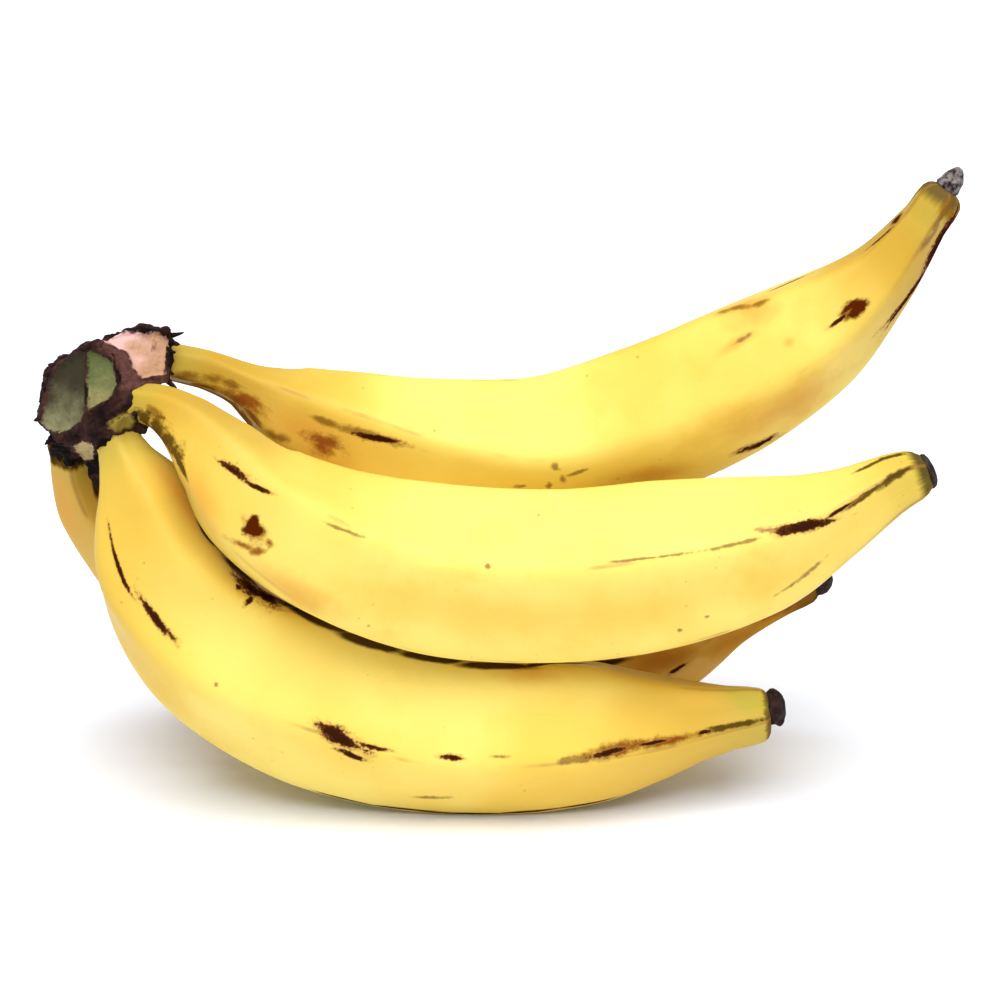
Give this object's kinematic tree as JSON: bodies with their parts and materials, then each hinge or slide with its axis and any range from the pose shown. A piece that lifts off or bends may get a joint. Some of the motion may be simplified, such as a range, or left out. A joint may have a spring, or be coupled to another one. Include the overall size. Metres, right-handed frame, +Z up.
{
  "type": "hand of plantains",
  "caption": "Hand of ripe yellow plantains joined at a dark cut crown, lying on its side with the fingertips curving up and away.",
  "frame": {"origin": "on the surface the hand lies on, under the centre of its box", "axes": "+X along the fingers from the crown to the tips, +Z up, -Y towards the side the picture shows"},
  "size_m": [0.3029, 0.111, 0.2086],
  "materials": {
    "peel": "satin",
    "crown_tissue": "matte",
    "dried_flower": "matte"
  },
  "bodies": {
    "root": {"crown": "crown_tissue", "finger_top": "peel", "finger_middle": "peel", "finger_front": "peel", "finger_back": "peel", "remnant_top": "dried_flower", "remnant_middle": "dried_flower", "remnant_front": "dried_flower", "remnant_back": "dried_flower"}
  },
  "joints": []
}
